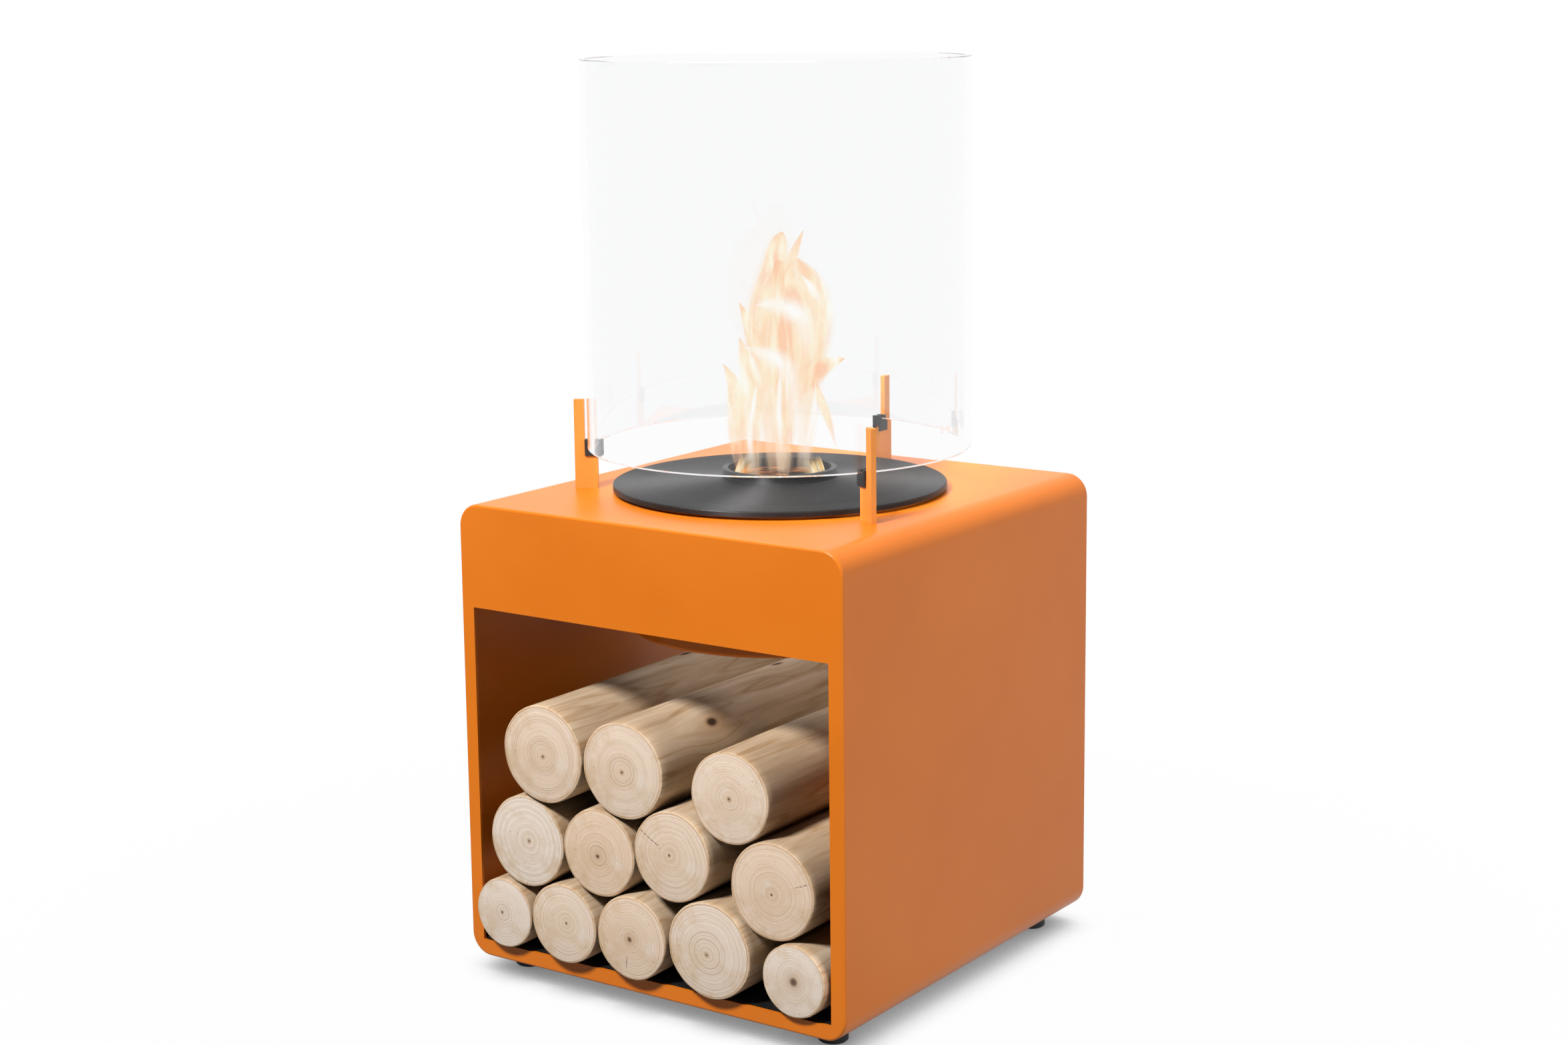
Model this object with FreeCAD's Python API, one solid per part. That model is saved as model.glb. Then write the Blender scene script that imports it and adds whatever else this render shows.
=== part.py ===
import FreeCAD, Part
import os
from math import cos, hypot, radians, sin, sqrt

# Free-standing ethanol fireplace: a folded steel cube with an open log store, a round burner
# dropped into its top, and a glass cylinder that stands on three stepped posts round the flame.
# Millimetres. The origin is on the ground under the middle of the whole, logs included. +Z is up
# and the front faces -Y.

# Cabinet
CABINET_W = 420.0
CABINET_D = 424.0
CABINET_H = 430.0
CORNER_R = 21.0
SHEET = 2.0
PANEL_T = 3.0
EDGE_R = 2.5
FASCIA_H = 96.0
LIP = 14.5
WINDOW_R = 1.5

# Feet, their screws and nuts
FOOT_H = 15.0
FOOT_R = 13.5
FOOT_TAPER = 1.5
FOOT_INSET = 38.0
FOOT_SCREW_R = 3.0
FOOT_HEAD_R = 5.5
FOOT_HEAD_H = 4.0
FOOT_RECESS = 7.0
FOOT_NUT_R = 5.8
FOOT_NUT_H = 5.0

# Raised floor of the log store, a step above the window's sill
FLOOR_STEP = 1.5
FLOOR_SIDE_GAP = 1.0

# Burner well
WELL_DEPTH = 128.0
WELL_BEND_R = 4.0
WELL_FLANGE = 7.0
GASKET_T = 2.0
GASKET_W = 6.0

# Burner
PLATE_CLIP_GAP = 12.2
PLATE_OVERLAP = 13.5
PLATE_RIM = 5.0
PLATE_EDGE_R = 1.2
PLATE_RISE = 5.4
PLATE_FLAT = 28.0
MOUTH_R = 55.0
MOUTH_H = 8.0
MOUTH_TAPER = 1.8
MOUTH_WALL = 5.0
SPIGOT_WALL = 2.5
HOUSING_GAP = 8.0
HOUSING_FLOOR_GAP = 8.0
CUP_R = 72.0
CUP_WALL = 1.5
CUP_LID_DROP = 6.0

# Glass cylinder
GLASS_WALL = 6.0
GLASS_H = 356.0
GLASS_LIFT = 42.5
GLASS_ARRIS = 0.8

# Posts and clips that carry the glass, evenly round it from the back
POSTS = ["back", "left", "right"]
POST_INSET = 16.9
POST_H = 84.0
POST_T = 5.0
POST_ARM = 9.5
POST_LEDGE = 12.0
POST_EDGE_R = 0.6
LEDGE_H = 36.5
CLIP_W = 9.0
CLIP_LEG = 4.0
CLIP_GRIP = 3.7
CLIP_DROP = 5.5
CLIP_ROUND = 0.8
POST_SCREW_R = 1.5
POST_SCREW_L = 8.0
POST_HEAD_R = 3.2
POST_HEAD_H = 2.0

# Clearances
SEAT = 0.3
SLIDE = 0.3
THREAD = 0.05
HOLE = 0.2

# Log pile: diameters as cut, and how far each end stands out of the front
LOG_OUT = 11.0
LOG_BACK_GAP = 88.0
LOG_TOP_GAP = 20.0
LOG_CHAMFER = 1.5
LOG_GAP = 0.4
LOG_SIDE_GAP = 0.8
LAST_LOG_GAP = 8.8
BOTTOM_ROW = [("log_01", 67.6, 10.4), ("log_02", 76.0, 12.0), ("log_03", 79.0, 12.3),
              ("log_04", 89.4, 11.0), ("log_05", 66.8, 7.7)]
# Each upper log lies against the two logs named after its size
UPPER_ROWS = [("log_06", 87.8, 7.0, "log_01", "log_02"),
              ("log_07", 82.8, 9.4, "log_06", "log_03"),
              ("log_08", 84.6, 11.7, "log_07", "log_04"),
              ("log_09", 89.6, 4.0, "log_04", "log_05"),
              ("log_11", 89.8, 11.4, "log_07", "log_08"),
              ("log_12", 85.0, 5.0, "log_08", "log_09"),
              ("log_10", 92.2, 11.4, "log_06", "log_11")]

# Levels and faces that the pieces share
BASE_Z = FOOT_H
TOP_Z = FOOT_H + CABINET_H
FRONT_Y = -CABINET_D / 2
WRAP_D = CABINET_D - 2 * PANEL_T
WINDOW_W = CABINET_W - 2 * LIP
WINDOW_Z0 = BASE_Z + LIP
WINDOW_Z1 = TOP_Z - FASCIA_H
FLOOR_Z = WINDOW_Z0 + FLOOR_STEP
POST_OUT = min(CABINET_W, WRAP_D) / 2 - POST_INSET
ARM_IN = POST_OUT - POST_ARM
POST_IN = ARM_IN - POST_LEDGE
CLIP_OUT = ARM_IN - SEAT
GLASS_R = CLIP_OUT - CLIP_LEG - SLIDE
GLASS_BORE = GLASS_R - GLASS_WALL
CLIP_IN = GLASS_BORE - SLIDE - CLIP_LEG
PLATE_R = CLIP_IN - PLATE_CLIP_GAP
WELL_R = PLATE_R - PLATE_OVERLAP
WELL_BORE = WELL_R - SHEET
FLANGE_R = WELL_R + WELL_FLANGE
GASKET_Z = TOP_Z + SHEET
FLANGE_Z = GASKET_Z + GASKET_T
PLATE_Z = FLANGE_Z + SHEET
PLATE_TOP = PLATE_Z + SHEET
MOUTH_Z = PLATE_TOP + PLATE_RISE
SPIGOT_R = MOUTH_R - MOUTH_TAPER - MOUTH_WALL + SPIGOT_WALL
HOUSING_R = WELL_BORE - HOUSING_GAP
HOUSING_Z = TOP_Z - WELL_DEPTH + SHEET + HOUSING_FLOOR_GAP
GLASS_Z = TOP_Z + GLASS_LIFT
LEDGE_Z = TOP_Z + LEDGE_H
POST_MID = (POST_IN + POST_OUT) / 2
POST_SCREW_STEP = (POST_OUT - POST_IN) / 4
FOOT_X = CABINET_W / 2 - FOOT_INSET
FOOT_Y = CABINET_D / 2 - FOOT_INSET
LOG_L = CABINET_D + LOG_OUT - LOG_BACK_GAP

# The logs stand out of the front only, so the finished pieces move back by half of that
CENTRE_Y = max(row[2] for row in BOTTOM_ROW + UPPER_ROWS) / 2

Z_AXIS = FreeCAD.Vector(0, 0, 1)


def vec(x, y, z):
    return FreeCAD.Vector(x, y, z)


def box(x0, x1, y0, y1, z0, z1):
    return Part.makeBox(x1 - x0, y1 - y0, z1 - z0, vec(x0, y0, z0))


def cylinder(radius, z0, z1, x=0.0, y=0.0):
    return Part.makeCylinder(radius, z1 - z0, vec(x, y, z0), Z_AXIS)


def revolve(profile):
    """Solid of revolution about the upright axis from (radius, height) corners."""
    points = [vec(r, 0, z) for r, z in profile]
    face = Part.Face(Part.makePolygon(points + points[:1]))
    return face.revolve(vec(0, 0, 0), Z_AXIS, 360)


def arc_points(r, z, size, start, end):
    """Three (radius, height) points on a rounded corner of a turned profile."""
    mid = (start + end) / 2
    return [(r + size * cos(radians(a)), z + size * sin(radians(a))) for a in (start, mid, end)]


def rounded_profile(parts):
    """Face in the XZ plane from corners and three-point arcs, for a turned piece."""
    edges = []
    last = None
    first = None
    for part in parts:
        points = [vec(r, 0, z) for r, z in part]
        first = first or points[0]
        if last is not None and last.distanceToPoint(points[0]) > 1e-6:
            edges.append(Part.makeLine(last, points[0]))
        if len(points) == 3:
            edges.append(Part.Arc(*points).toShape())
        last = points[-1]
    edges.append(Part.makeLine(last, first))
    return Part.Face(Part.Wire(edges))


def turned(parts):
    return rounded_profile(parts).revolve(vec(0, 0, 0), Z_AXIS, 360)


def slab(width, z0, z1, corner_r, y0, y1):
    """Rounded rectangle in the XZ plane, extruded along Y."""
    block = box(-width / 2, width / 2, y0, y1, z0, z1)
    corners = [e for e in block.Edges
               if abs(e.Vertexes[0].X - e.Vertexes[1].X) < 1e-6
               and abs(e.Vertexes[0].Z - e.Vertexes[1].Z) < 1e-6]
    return block.makeFillet(corner_r, corners)


def feet_places():
    return {"front_left": (-FOOT_X, -FOOT_Y), "front_right": (FOOT_X, -FOOT_Y),
            "back_left": (-FOOT_X, FOOT_Y), "back_right": (FOOT_X, FOOT_Y)}


def post_angles():
    return {name: 90 + 360 * k / len(POSTS) for k, name in enumerate(POSTS)}


def post_screw_places():
    places = []
    for angle in post_angles().values():
        for r in (POST_MID - POST_SCREW_STEP, POST_MID + POST_SCREW_STEP):
            places.append((r * cos(radians(angle)), r * sin(radians(angle))))
    return places


def cabinet_wrap():
    """Four sides folded from one sheet, with the well hole above and the screw holes."""
    wrap = slab(CABINET_W, BASE_Z, TOP_Z, CORNER_R, -WRAP_D / 2, WRAP_D / 2)
    wrap = wrap.cut(slab(CABINET_W - 2 * SHEET, BASE_Z + SHEET, TOP_Z - SHEET, CORNER_R - SHEET,
                         -WRAP_D / 2, WRAP_D / 2))
    wrap = wrap.cut(cylinder(WELL_R + SEAT, TOP_Z - 2 * SHEET, TOP_Z + SHEET))
    for x, y in feet_places().values():
        wrap = wrap.cut(cylinder(FOOT_SCREW_R + HOLE, BASE_Z - SHEET, BASE_Z + 2 * SHEET, x, y))
    for x, y in post_screw_places():
        wrap = wrap.cut(cylinder(POST_SCREW_R + HOLE, TOP_Z - 2 * SHEET, TOP_Z + SHEET, x, y))
    return wrap


def panel(outer_y, inner_y):
    """Welded face plate with the log window cut out and its outer edge ground round."""
    plate = slab(CABINET_W, BASE_Z, TOP_Z, CORNER_R, min(outer_y, inner_y), max(outer_y, inner_y))
    rim = [e for e in plate.Edges if all(abs(v.Y - outer_y) < 1e-6 for v in e.Vertexes)]
    plate = plate.makeFillet(min(EDGE_R, 0.9 * PANEL_T), rim)
    return plate.cut(slab(WINDOW_W, WINDOW_Z0, WINDOW_Z1, WINDOW_R, -CABINET_D, CABINET_D))


def burner_well():
    """Spun can with a flat flange that lies on the cabinet top."""
    bottom = TOP_Z - WELL_DEPTH
    inner_bend = WELL_BEND_R - SHEET / 2
    return turned([
        [(0, bottom)],
        arc_points(WELL_R - WELL_BEND_R, bottom + WELL_BEND_R, WELL_BEND_R, -90, 0),
        [(WELL_R, TOP_Z)], [(FLANGE_R, TOP_Z)], [(FLANGE_R, GASKET_Z)], [(WELL_BORE, GASKET_Z)],
        arc_points(WELL_BORE - inner_bend, bottom + SHEET + inner_bend, inner_bend, 0, -90),
        [(0, bottom + SHEET)]])


def well_gasket():
    middle = (WELL_BORE + FLANGE_R) / 2
    return revolve([(middle - GASKET_W / 2, GASKET_Z), (middle + GASKET_W / 2, GASKET_Z),
                    (middle + GASKET_W / 2, FLANGE_Z), (middle - GASKET_W / 2, FLANGE_Z)])


def half_width_inside(z):
    """Half the clear width between the wrap's sides, at a height in its lower bends."""
    below = max(BASE_Z + CORNER_R - z, 0)
    return CABINET_W / 2 - CORNER_R + sqrt((CORNER_R - SHEET) ** 2 - below ** 2)


def floor_tray():
    """Black floor sheet, wall to wall, on a skirt that stands on the flat of the cabinet's bottom."""
    half_w = half_width_inside(FLOOR_Z - SHEET) - FLOOR_SIDE_GAP
    half_d = WRAP_D / 2 - FLOOR_SIDE_GAP
    skirt_w = CABINET_W / 2 - CORNER_R - FLOOR_SIDE_GAP
    foot_z = BASE_Z + SHEET
    sheet = box(-half_w, half_w, -half_d, half_d, FLOOR_Z - SHEET, FLOOR_Z)
    skirt = box(-skirt_w, skirt_w, -half_d, half_d, foot_z, FLOOR_Z - SHEET)
    hollow = box(-skirt_w + SHEET, skirt_w - SHEET, -half_d + SHEET, half_d - SHEET,
                 foot_z - SHEET, FLOOR_Z - SHEET)
    return sheet.fuse(skirt.cut(hollow)).removeSplitter()


def foot(x, y):
    """Turned foot, wider at the top, with a recess below for its screw head."""
    recess = FOOT_HEAD_R + HOLE
    bore = FOOT_SCREW_R + HOLE
    shape = revolve([(recess, 0), (FOOT_R - FOOT_TAPER, 0), (FOOT_R, FOOT_TAPER), (FOOT_R, FOOT_H),
                     (bore, FOOT_H), (bore, FOOT_RECESS), (recess, FOOT_RECESS)])
    return shape.translated(vec(x, y, 0))


def foot_screw(x, y):
    nut_top = BASE_Z + SHEET + FOOT_NUT_H
    shape = revolve([(0, FOOT_RECESS - FOOT_HEAD_H), (FOOT_HEAD_R, FOOT_RECESS - FOOT_HEAD_H),
                     (FOOT_HEAD_R, FOOT_RECESS), (FOOT_SCREW_R, FOOT_RECESS),
                     (FOOT_SCREW_R, nut_top), (0, nut_top)])
    return shape.translated(vec(x, y, 0))


def foot_nut(x, y):
    corners = [vec(FOOT_NUT_R * cos(radians(60 * k)), FOOT_NUT_R * sin(radians(60 * k)),
                   BASE_Z + SHEET) for k in range(6)]
    prism = Part.Face(Part.makePolygon(corners + corners[:1])).extrude(vec(0, 0, FOOT_NUT_H))
    bore = cylinder(FOOT_SCREW_R + THREAD, BASE_Z, BASE_Z + 2 * SHEET + FOOT_NUT_H)
    return prism.cut(bore).translated(vec(x, y, 0))


def stand(shape, angle):
    """Turns a piece that was drawn along +X to its place round the glass."""
    return shape.rotated(vec(0, 0, 0), Z_AXIS, angle)


def glass_post(angle):
    """Stepped flat bar: a wide foot with a ledge, and a narrow arm outside the glass."""
    outline = [(POST_IN, TOP_Z), (POST_OUT, TOP_Z), (POST_OUT, TOP_Z + POST_H),
               (ARM_IN, TOP_Z + POST_H), (ARM_IN, LEDGE_Z), (POST_IN, LEDGE_Z)]
    points = [vec(r, -POST_T / 2, z) for r, z in outline]
    bar = Part.Face(Part.makePolygon(points + points[:1])).extrude(vec(0, POST_T, 0))
    corners = [e for e in bar.Edges if abs(e.Vertexes[0].Y - e.Vertexes[1].Y) > POST_T / 2
               and min(v.Z for v in e.Vertexes) > LEDGE_Z + CLIP_GRIP]
    bar = bar.makeFillet(POST_EDGE_R, corners)
    for r in (POST_MID - POST_SCREW_STEP, POST_MID + POST_SCREW_STEP):
        bar = bar.cut(cylinder(POST_SCREW_R + THREAD, TOP_Z - SHEET, TOP_Z + POST_SCREW_L + SEAT, r))
    return stand(bar, angle)


def post_screw(x, y):
    head_z = TOP_Z - SHEET
    head = cylinder(POST_HEAD_R, head_z - POST_HEAD_H, head_z, x, y)
    return head.fuse(cylinder(POST_SCREW_R, head_z, TOP_Z + POST_SCREW_L, x, y)).removeSplitter()


def glass_clip(angle):
    """Saddle that straddles the ledge below and grips the curved glass edge above."""
    top = GLASS_Z - SEAT + CLIP_GRIP
    block = box(CLIP_IN, CLIP_OUT, -CLIP_W / 2, CLIP_W / 2, LEDGE_Z - CLIP_DROP, top)
    upright = [e for e in block.Edges if abs(e.Vertexes[0].Z - e.Vertexes[1].Z) > CLIP_GRIP]
    block = block.makeFillet(CLIP_ROUND, upright)
    slot = cylinder(GLASS_R + SLIDE, GLASS_Z - SEAT, top + SEAT)
    slot = slot.cut(cylinder(GLASS_BORE - SLIDE, GLASS_Z - 2 * SEAT, top + 2 * SEAT))
    saddle = box(POST_IN - CLIP_LEG - POST_LEDGE, POST_OUT, -POST_T / 2 - SEAT, POST_T / 2 + SEAT,
                 LEDGE_Z - CLIP_DROP - SEAT, LEDGE_Z)
    return stand(block.cut(slot).cut(saddle), angle)


def glass_cylinder():
    """Open tube of toughened glass with arrised rims."""
    a = GLASS_ARRIS
    top = GLASS_Z + GLASS_H
    return revolve([(GLASS_BORE + a, GLASS_Z), (GLASS_R - a, GLASS_Z), (GLASS_R, GLASS_Z + a),
                    (GLASS_R, top - a), (GLASS_R - a, top), (GLASS_BORE + a, top),
                    (GLASS_BORE, top - a), (GLASS_BORE, GLASS_Z + a)])


def burner_plate():
    """Pressed plate: turned-down rim, flat seat, then a shallow cone up to the mouth."""
    rim_z = PLATE_TOP - PLATE_RIM
    cone_r = PLATE_R - PLATE_FLAT
    hole = SPIGOT_R + SEAT
    return turned([
        [(PLATE_R - SHEET, rim_z)], [(PLATE_R, rim_z)],
        arc_points(PLATE_R - PLATE_EDGE_R, PLATE_TOP - PLATE_EDGE_R, PLATE_EDGE_R, 0, 90),
        [(cone_r, PLATE_TOP)], [(MOUTH_R, MOUTH_Z)], [(hole, MOUTH_Z)],
        [(hole, MOUTH_Z - SHEET)], [(MOUTH_R, MOUTH_Z - SHEET)], [(cone_r, PLATE_Z)],
        [(PLATE_R - SHEET, PLATE_Z)]])


def mouth_collar():
    """Raised ring round the flame, with a spigot down into the neck of the fuel cup."""
    bore = SPIGOT_R - SPIGOT_WALL
    return revolve([(bore, PLATE_Z - CUP_LID_DROP), (SPIGOT_R, PLATE_Z - CUP_LID_DROP),
                    (SPIGOT_R, MOUTH_Z), (MOUTH_R, MOUTH_Z),
                    (MOUTH_R - MOUTH_TAPER, MOUTH_Z + MOUTH_H), (bore, MOUTH_Z + MOUTH_H)])


def burner_housing():
    """Outer can of the burner, hung by its flange from the well's gasket."""
    inner = HOUSING_R - SHEET
    return revolve([(0, HOUSING_Z), (HOUSING_R, HOUSING_Z), (HOUSING_R, FLANGE_Z),
                    (FLANGE_R, FLANGE_Z), (FLANGE_R, PLATE_Z), (inner, PLATE_Z),
                    (inner, HOUSING_Z + SHEET), (0, HOUSING_Z + SHEET)])


def fuel_cup():
    """Inner reservoir that stands in the housing and is open at the mouth."""
    floor = HOUSING_Z + SHEET
    lid = PLATE_Z - CUP_LID_DROP
    neck = SPIGOT_R + SEAT
    inner = CUP_R - CUP_WALL
    return revolve([(0, floor), (CUP_R, floor), (CUP_R, lid), (neck + CUP_WALL, lid),
                    (neck + CUP_WALL, PLATE_Z), (neck, PLATE_Z), (neck, lid - CUP_WALL),
                    (inner, lid - CUP_WALL), (inner, floor + CUP_WALL), (0, floor + CUP_WALL)])


def rest_on(a, b, radius):
    """Centre of a log that lies on top of logs a and b, just clear of both."""
    reach_a = a[2] + radius + LOG_GAP
    reach_b = b[2] + radius + LOG_GAP
    span = hypot(b[0] - a[0], b[1] - a[1])
    along = (reach_a ** 2 - reach_b ** 2 + span ** 2) / (2 * span)
    rise = sqrt(reach_a ** 2 - along ** 2)
    ux = (b[0] - a[0]) / span
    uz = (b[1] - a[1]) / span
    sides = [(a[0] + along * ux - s * rise * uz, a[1] + along * uz + s * rise * ux) for s in (1, -1)]
    x, z = max(sides, key=lambda side: side[1])
    return x, z, radius


def stack_logs(fit):
    """Centre and radius of each log, from the row on the floor up, with every diameter times fit."""
    gaps = [LOG_GAP] * (len(BOTTOM_ROW) - 2) + [LAST_LOG_GAP, 0]
    places = {}
    x = -(sum(gaps) + fit * sum(row[1] for row in BOTTOM_ROW)) / 2
    for (name, size, out), gap in zip(BOTTOM_ROW, gaps):
        radius = fit * size / 2
        places[name] = (x + radius, FLOOR_Z + LOG_GAP + radius, radius)
        x += 2 * radius + gap
    for name, size, out, left, right in UPPER_ROWS:
        places[name] = rest_on(places[left], places[right], fit * size / 2)
    return places


def log_pile():
    """The stack that fills the window's width, or less where it would come too near the well."""
    gaps = 2 * LOG_SIDE_GAP + (len(BOTTOM_ROW) - 2) * LOG_GAP + LAST_LOG_GAP
    fit = (WINDOW_W - gaps) / sum(row[1] for row in BOTTOM_ROW)
    height = max(z + radius for x, z, radius in stack_logs(fit).values()) - FLOOR_Z
    room = TOP_Z - WELL_DEPTH - LOG_TOP_GAP - FLOOR_Z
    places = stack_logs(fit * min(1, room / height))
    return {row[0]: places[row[0]] + (row[2],) for row in BOTTOM_ROW + UPPER_ROWS}


def peeled_log(x, z, radius, out):
    log = Part.makeCylinder(radius, LOG_L, vec(x, FRONT_Y - out, z), vec(0, 1, 0))
    ends = [e for e in log.Edges if isinstance(e.Curve, Part.Circle)]
    return log.makeChamfer(LOG_CHAMFER, ends)


def build():
    half_d = CABINET_D / 2
    feet = feet_places()
    nodes = {
        "cabinet_wrap": cabinet_wrap(),
        "front_panel": panel(-half_d, -half_d + PANEL_T),
        "back_panel": panel(half_d, half_d - PANEL_T),
        "burner_well": burner_well(),
        "well_gasket": well_gasket(),
        "floor_tray": floor_tray(),
        "foot_screws": Part.makeCompound([foot_screw(x, y) for x, y in feet.values()]),
        "foot_nuts": Part.makeCompound([foot_nut(x, y) for x, y in feet.values()]),
        "post_screws": Part.makeCompound([post_screw(x, y) for x, y in post_screw_places()]),
        "glass_cylinder": glass_cylinder(),
        "burner_plate": burner_plate(),
        "mouth_collar": mouth_collar(),
        "burner_housing": burner_housing(),
        "fuel_cup": fuel_cup(),
    }
    for name, (x, y) in feet.items():
        nodes["foot_" + name] = foot(x, y)
    for name, angle in post_angles().items():
        nodes["glass_post_" + name] = glass_post(angle)
        nodes["glass_clip_" + name] = glass_clip(angle)
    for name, (x, z, radius, out) in log_pile().items():
        nodes[name] = peeled_log(x, z, radius, out)
    return nodes


os.makedirs("parts", exist_ok=True)
for node_name, drawn in build().items():
    shape = drawn.translated(vec(0, CENTRE_Y, 0))
    shape.exportStep("parts/" + node_name + ".step")
    print(node_name, len(shape.Solids), shape.isValid(), round(shape.Volume / 1000.0, 2), "cm3")
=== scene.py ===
# %% [markdown]
# A free-standing ethanol fireplace, dressed for its picture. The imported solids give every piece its
# place and size. This lesson gives them their finishes, builds the logs with their sawn ends and the
# flame, and sets up the camera and the light.

# %% Load the frame
import random
from math import cos, pi, radians, sin

import bmesh
import bpy
from mathutils import Matrix, Vector, noise


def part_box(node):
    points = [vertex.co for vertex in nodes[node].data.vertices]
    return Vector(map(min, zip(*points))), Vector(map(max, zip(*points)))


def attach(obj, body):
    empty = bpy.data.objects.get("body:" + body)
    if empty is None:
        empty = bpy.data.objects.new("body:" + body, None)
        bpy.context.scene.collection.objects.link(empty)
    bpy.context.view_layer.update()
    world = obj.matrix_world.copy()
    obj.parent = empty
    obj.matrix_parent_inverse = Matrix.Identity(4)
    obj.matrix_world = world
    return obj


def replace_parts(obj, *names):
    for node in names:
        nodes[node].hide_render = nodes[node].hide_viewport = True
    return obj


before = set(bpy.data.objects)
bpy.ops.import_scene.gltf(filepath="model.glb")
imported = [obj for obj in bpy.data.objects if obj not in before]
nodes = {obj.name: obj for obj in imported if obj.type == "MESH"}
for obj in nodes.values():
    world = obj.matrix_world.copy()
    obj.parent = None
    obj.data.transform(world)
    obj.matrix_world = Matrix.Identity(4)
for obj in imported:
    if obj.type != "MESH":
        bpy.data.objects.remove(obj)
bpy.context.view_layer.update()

scene = bpy.context.scene

# %% [markdown]
# The picture was taken with a fairly long lens from the front right, a little above the cabinet.
# The camera could be aimed with a Track To constraint, but a matrix built from its three directions
# also keeps the slight roll. The lens axis lies a little above the middle of the picture, so the
# camera has a small vertical shift.

# %% Camera
YAW, PITCH, ROLL = radians(34.876), radians(10.146), radians(-0.617)
CAMERA_AT = Vector((1.4124, -2.0134, 0.9042))
SENSOR_MM, LENS_MM, LENS_SHIFT = 36.0, 61.72, -0.034

forward = Vector((-sin(YAW) * cos(PITCH), cos(YAW) * cos(PITCH), -sin(PITCH)))
level_right = Vector((cos(YAW), sin(YAW), 0))
level_up = level_right.cross(forward)
right = cos(ROLL) * level_right + sin(ROLL) * level_up
up = cos(ROLL) * level_up - sin(ROLL) * level_right
turned = Matrix((right, up, -forward)).transposed().to_4x4()

camera = bpy.data.objects.new("camera", bpy.data.cameras.new("camera"))
scene.collection.objects.link(camera)
camera.matrix_world = Matrix.Translation(CAMERA_AT) @ turned
camera.data.sensor_width = SENSOR_MM
camera.data.lens = LENS_MM
camera.data.shift_y = LENS_SHIFT
scene.camera = camera
scene.view_settings.view_transform = "Standard"
print("camera at", tuple(round(v, 3) for v in CAMERA_AT))

# %% [markdown]
# A studio with a white floor that runs into a white world. A world that is white for every ray would
# light the orange flat from all sides, so it has three strengths: full white where the camera looks,
# straight or through glass, a bright back and right side for gloss, and a softer light, mostly from
# behind and from the right, for the rest. A Light Path node tells these rays apart.

# %% Helpers for node trees
def feed(tree, node, values):
    """Set inputs of a node: a socket is linked, anything else becomes the input's own value."""
    for name, value in values.items():
        if isinstance(value, bpy.types.NodeSocket):
            tree.links.new(value, node.inputs[name])
        else:
            node.inputs[name].default_value = value


def add_node(tree, kind, values=None, **settings):
    node = tree.nodes.new("ShaderNode" + kind)
    for name, value in settings.items():
        setattr(node, name, value)
    feed(tree, node, values or {})
    return node


def maths(tree, operation, first, second=0.0):
    return add_node(tree, "Math", {0: first, 1: second}, operation=operation).outputs["Value"]


def in_range(tree, value, low, high, to_low=0.0, to_high=1.0, smooth=False):
    """A value moved from one range to another, and held at its ends."""
    ranges = {"Value": value, "From Min": low, "From Max": high, "To Min": to_low, "To Max": to_high}
    kind = "SMOOTHSTEP" if smooth else "LINEAR"
    return add_node(tree, "MapRange", ranges, interpolation_type=kind).outputs["Result"]


def split(tree, vector):
    return add_node(tree, "SeparateXYZ", {"Vector": vector}).outputs


# %% White world
def seen_directly(tree):
    """1 for what the camera sees, straight or through glass, and the light path itself."""
    path = add_node(tree, "LightPath").outputs
    return maths(tree, "MAXIMUM", path["Is Camera Ray"], path["Is Transmission Ray"]), path


def white_world():
    world = bpy.data.worlds.new("studio")
    world.use_nodes = True
    tree = world.node_tree
    seen, path = seen_directly(tree)
    toward = split(tree, add_node(tree, "TexCoord").outputs["Generated"])
    not_front = in_range(tree, toward["Y"], -0.30, 0.10, to_low=0.06)
    not_far_back = in_range(tree, toward["Y"], 0.3, 0.8, to_low=1.0, to_high=0.35)
    more_right = in_range(tree, toward["X"], -0.1, 0.4, to_low=0.25, to_high=0.45)
    soft = maths(tree, "MULTIPLY", maths(tree, "MULTIPLY", not_front, not_far_back), more_right)
    back_shine = in_range(tree, toward["Y"], -0.60, 0.05)
    right_shine = in_range(tree, toward["X"], -0.5, 0.9)
    shine = maths(tree, "MAXIMUM", back_shine, right_shine)
    unseen = in_range(tree, path["Is Glossy Ray"], 0, 1, soft, shine)
    strength = in_range(tree, seen, 0, 1, unseen, 1.0)
    feed(tree, tree.nodes["Background"], {"Color": (1, 1, 1, 1), "Strength": strength})
    return world


scene.world = white_world()
print("world:", scene.world.name)

# %% [markdown]
# The floor shows its own white to the camera, darkened close under the cabinet by an Ambient Occlusion
# node, which makes the contact shadow. As light on the object it is only grey paint. Gloss sees the white
# too, except at the front left near the cabinet: there the floor is dark for gloss, so that the front
# keeps its deep orange. Past about two and a half metres it is white again.

# %% White floor
FLOOR_REACH = 30.0
SHADOW_REACH = 0.038
SHADOW_TONES = [(0.0, 0.10), (0.35, 0.42), (0.62, 0.86), (0.85, 1.0)]


def colour_ramp(tree, source, stops):
    """Colour from a socket through (position, colour) stops, where a lone number is a grey."""
    ramp = add_node(tree, "ValToRGB", {"Fac": source})
    elements = ramp.color_ramp.elements
    while len(elements) < len(stops):
        elements.new(0.5)
    for element, (position, colour) in zip(elements, stops):
        element.position = position
        element.color = (colour, colour, colour, 1.0) if isinstance(colour, float) else (*colour, 1.0)
    return ramp.outputs["Color"]


def length(tree, vector):
    return add_node(tree, "VectorMath", {0: vector}, operation="LENGTH").outputs["Value"]


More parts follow.
